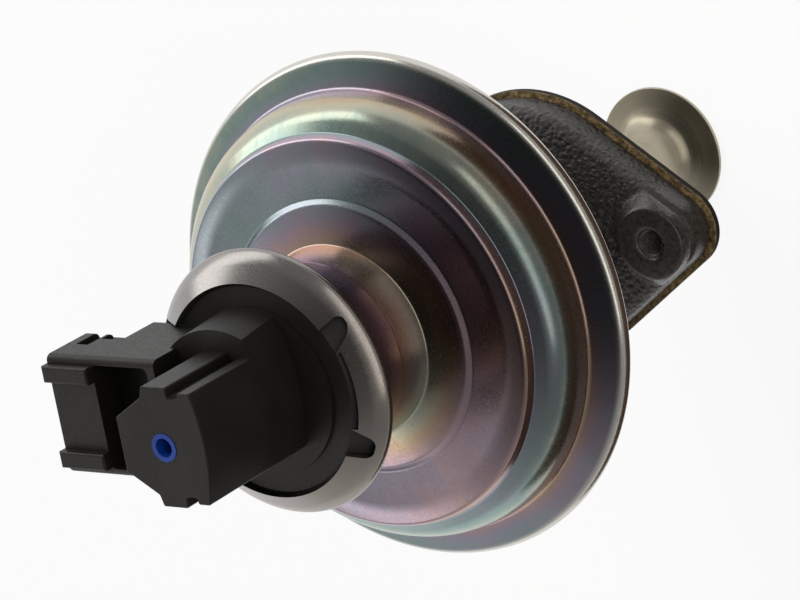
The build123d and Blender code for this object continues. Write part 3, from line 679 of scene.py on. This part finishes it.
def makeBossThread(name, x):
    # one thread's ridge, wound up the hole
    size = castSize
    deselectAll()
    bpy.ops.mesh.primitive_plane_add(size=2 * mm, location=(0, 0, 0))
    ridge = bpy.context.object
    ridge.name = name
    half = 0.42 * size["threadPitch"]
    corners = [(size["threadRoot"], -half), (size["threadRoot"], half),
               (size["threadTip"], 0.12 * half), (size["threadTip"], -0.12 * half)]
    for index, (r, z) in zip((0, 1, 3, 2), corners):
        ridge.data.vertices[index].co = (r * mm, 0, (size["threadLow"] + z) * mm)
    addModifier(ridge, "SCREW", angle=2 * math.pi, screw_offset=size["threadPitch"] * mm,
                iterations=size["threadTurns"], steps=40, render_steps=40, axis="Z")
    makeActive(ridge)
    editOn()
    bpy.ops.mesh.select_all(action="SELECT")
    bpy.ops.mesh.remove_doubles(threshold=1e-7)
    bpy.ops.mesh.select_all(action="DESELECT")
    bpy.ops.mesh.select_mode(type="EDGE")
    bpy.ops.mesh.select_non_manifold(extend=False)
    bpy.ops.mesh.fill_holes(sides=0)
    bpy.ops.mesh.select_all(action="SELECT")
    bpy.ops.mesh.normals_make_consistent(inside=False)
    bpy.ops.transform.translate(value=(x * mm, 0, 0))
    editOff()
    smoothByAngle(ridge, 20)
    finishPiece(ridge, castIron, "housing", "cast_iron")


makeCastBody()
makeBossThread("bossThreadNear", castSize["boltReach"])
makeBossThread("bossThreadFar", -castSize["boltReach"])
print("cast body made")


headSize = {
    "section": [(0.0, -40.3), (12.0, -40.3), (12.6, -39.7), (12.6, -39.1), (8.6, -38.0),
                (5.0, -35.2), (4.35, -30.0), (4.0, -29.9), (0.0, -29.9)],
    "corners": [0.2, 0.15, 0.25, 7.0, 9.0, 0.1, 0.0],
}


def makeHead():
    head = drawSection("turnedHead", headSize["section"], headSize["corners"])
    spinSection(head, 180)
    smoothByAngle(head, 28)
    finishPiece(head, turnedSteel, "valve", "turned_steel", "valve_head")


makeHead()
print("valve head made")


# each piece's node, slot and moving body, and how many mm of its fixed and moving ends stay stiff
softParts = {
    "valveSpring": ("main_spring", "spring_steel", "valve", 2.4, 2.4),
    "plungerCoil": ("plunger_spring", "spring_steel", "plunger", 0.7, 0.7),
    "rollingDiaphragm": ("diaphragm", "diaphragm_rubber", "valve", 4.5, 1.0),
}


def makeSoftParts():
    # the springs and the diaphragm are made as smoothed welded copies of their nodes, which they hide
    for name, (node, slot, mover, fixedEnd, movingEnd) in softParts.items():
        piece = mergedCopy(name, node)
        smoothByAngle(piece, 40)
        piece.data.materials.clear()
        piece.data.materials.append(finishes[node])
        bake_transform(piece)
        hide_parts(node)


makeSoftParts()
print("springs and diaphragm made")


view = {
    # the camera's place in mm, its axes and its lens
    "place": (374.268, 184.612, 516.16),
    "right": (0.802566, -0.173459, -0.570789),
    "up": (-0.036653, 0.940650, -0.337393),
    "back": (0.595436, 0.291701, 0.748576),
    "lens": 167.374, "sensor": 36,
    "clip": (0.05, 100),
}
camera = bpy.data.objects.new("camera", bpy.data.cameras.new("camera"))
bpy.context.scene.collection.objects.link(camera)
turn = Matrix((view["right"], view["up"], view["back"])).transposed().to_4x4()
camera.matrix_world = Matrix.Translation(Vector(view["place"]) * mm) @ turn
camera.data.lens = view["lens"]
camera.data.sensor_width = view["sensor"]
camera.data.clip_start, camera.data.clip_end = view["clip"]
bpy.context.scene.camera = camera


aimAt = Vector((0, 0, 0.045))   # the middle of the object, in metres


def addSoftbox(name, place, width, height, power, colour):
    data = bpy.data.lights.new(name, "AREA")
    data.shape = "RECTANGLE"
    data.size = width
    data.size_y = height
    data.energy = power
    data.color = hexColour(colour)[:3]
    box = bpy.data.objects.new(name, data)
    bpy.context.scene.collection.objects.link(box)
    box.location = place
    box.rotation_euler = (aimAt - Vector(place)).to_track_quat("-Z", "Y").to_euler()


# azimuth and elevation in degrees; distance, width and height in metres; power in watts
lights = {
    "sideBox": (138, 10, 1.1, 1.1, 0.35, 2.5, "FFFDF8"),
    "backBox": (211, 36, 1.1, 0.85, 0.27, 0.75, "FFF9F6"),
    "frontBox": (22, 28, 1.2, 2.0, 0.3, 2.4, "FFFCF4"),
    # these two light the matt pieces, and no metal shows them
    "softBox": (125, 40, 1.3, 0.8, 0.8, 11.0, "FFFFFF"),
    "fillBox": (8, 45, 1.3, 0.8, 0.8, 6.0, "FFF6EA"),
}


def aroundObject(azimuth, elevation, distance):
    a, e = math.radians(azimuth), math.radians(elevation)
    direction = Vector((math.cos(a) * math.cos(e), math.sin(a) * math.cos(e), math.sin(e)))
    return direction * distance + aimAt


for name, (azimuth, elevation, distance, width, height, power, colour) in lights.items():
    addSoftbox(name, aroundObject(azimuth, elevation, distance), width, height, power, colour)
for name in ("softBox", "fillBox"):
    bpy.data.objects[name].visible_glossy = False

# sizes and heights in metres
stageSize = {
    "floor": 60, "floorPaper": "EDEDED", "floorGlow": 0.88,
    "flag": 2, "flagMiddle": 1.045, "flagLift": 0.002, "flagCloth": "4A382E",
    "matt": 0.9,
}
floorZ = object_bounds()[0][2]


def layPlane(name, size, place):
    deselectAll()
    bpy.ops.mesh.primitive_plane_add(size=size, location=place)
    plane = bpy.context.object
    plane.name = name
    applyPlace(plane)
    return plane


floor = layPlane("studioFloor", stageSize["floor"], (0, 0, floorZ))


def makeBlackFlag():
    # a dark cloth outside the view, which only shiny surfaces show on their near side
    place = (stageSize["flagMiddle"], 0, floorZ + stageSize["flagLift"])
    flag = layPlane("blackFlag", stageSize["flag"], place)
    flag.visible_camera = False
    flag.visible_diffuse = False
    flag.visible_shadow = False
    material, tree, shader = newMaterial("blackFlagCloth")
    setInputs(tree, shader, {
        "Base Color": hexColour(stageSize["flagCloth"]), "Roughness": stageSize["matt"]})
    flag.data.materials.append(material)


makeBlackFlag()


def makeFloorPaper():
    # plain white studio paper, shown as white with a soft shadow left in it
    material, tree, shader = newMaterial("whiteStudioPaper")
    setInputs(tree, shader, {
        "Base Color": hexColour(stageSize["floorPaper"]), "Roughness": stageSize["matt"]})
    glow = addNode(tree, "ShaderNodeEmission", {"Color": (1, 1, 1, 1), "Strength": 1.0})
    path = addNode(tree, "ShaderNodeLightPath")
    seen = addNode(tree, "ShaderNodeMath", {
        "operation": "ADD", 0: (path, "Is Camera Ray"), 1: (path, "Is Glossy Ray")})
    seen = addNode(tree, "ShaderNodeMath", {
        "operation": "ADD", 0: seen, 1: (path, "Is Transmission Ray")})
    seen = addNode(tree, "ShaderNodeMath", {
        "operation": "MULTIPLY", 0: seen, 1: stageSize["floorGlow"]})
    mix = addNode(tree, "ShaderNodeMixShader", {0: seen, 1: shader, 2: glow})
    setInputs(tree, tree.nodes["Material Output"], {"Surface": mix})
    return material


floor.data.materials.append(makeFloorPaper())


def makeStudioRoom():
    # a dark ceiling over pale walls, the far one palest low down
    world = bpy.data.worlds.new("studioRoom")
    bpy.context.scene.world = world
    world.use_nodes = True
    tree = world.node_tree
    place = (addNode(tree, "ShaderNodeTexCoord"), "Generated")
    split, flat = splitPlace(tree, place)
    unit = addNode(tree, "ShaderNodeVectorMath", {"operation": "NORMALIZE", 0: flat})
    turnFrom, turnTo = room["turn"]
    towards = addNode(tree, "ShaderNodeMapRange", {
        "From Min": turnFrom, "From Max": turnTo, "Value": facingSide(tree, unit, room["brightSide"])})
    nearWall = addNode(tree, "ShaderNodeValToRGB", {"Fac": (split, "Z"), "stops": room["nearWall"]})
    farWall = addNode(tree, "ShaderNodeValToRGB", {"Fac": (split, "Z"), "stops": room["farWall"]})
    level = addNode(tree, "ShaderNodeMix", {"data_type": "RGBA", 0: towards, 6: nearWall, 7: farWall})
    path = addNode(tree, "ShaderNodeLightPath")
    level = addNode(tree, "ShaderNodeMath", {
        "operation": "MAXIMUM", 0: (level, 2), 1: (path, "Is Camera Ray")})
    setInputs(tree, tree.nodes["Background"], {"Color": hexColour(room["air"]), "Strength": level})


room = {
    "air": "FFFEFC",
    "brightSide": 215, "turn": (-0.1, 0.7),   # degrees from +X, and how it fades round to that side
    # the sine of the elevation, and how pale the room is there
    "nearWall": [(0.0, 0.34), (0.55, 0.3), (0.68, 0.17), (0.78, 0.07), (0.86, 0.035), (1.0, 0.03)],
    "farWall": [
        (0.0, 0.7), (0.26, 0.56), (0.37, 0.5), (0.53, 0.46), (0.64, 0.46), (0.75, 0.4),
        (0.82, 0.24), (0.87, 0.12), (0.93, 0.06), (1.0, 0.03)],
}
makeStudioRoom()
bpy.context.scene.view_settings.view_transform = "Standard"
print("studio made")
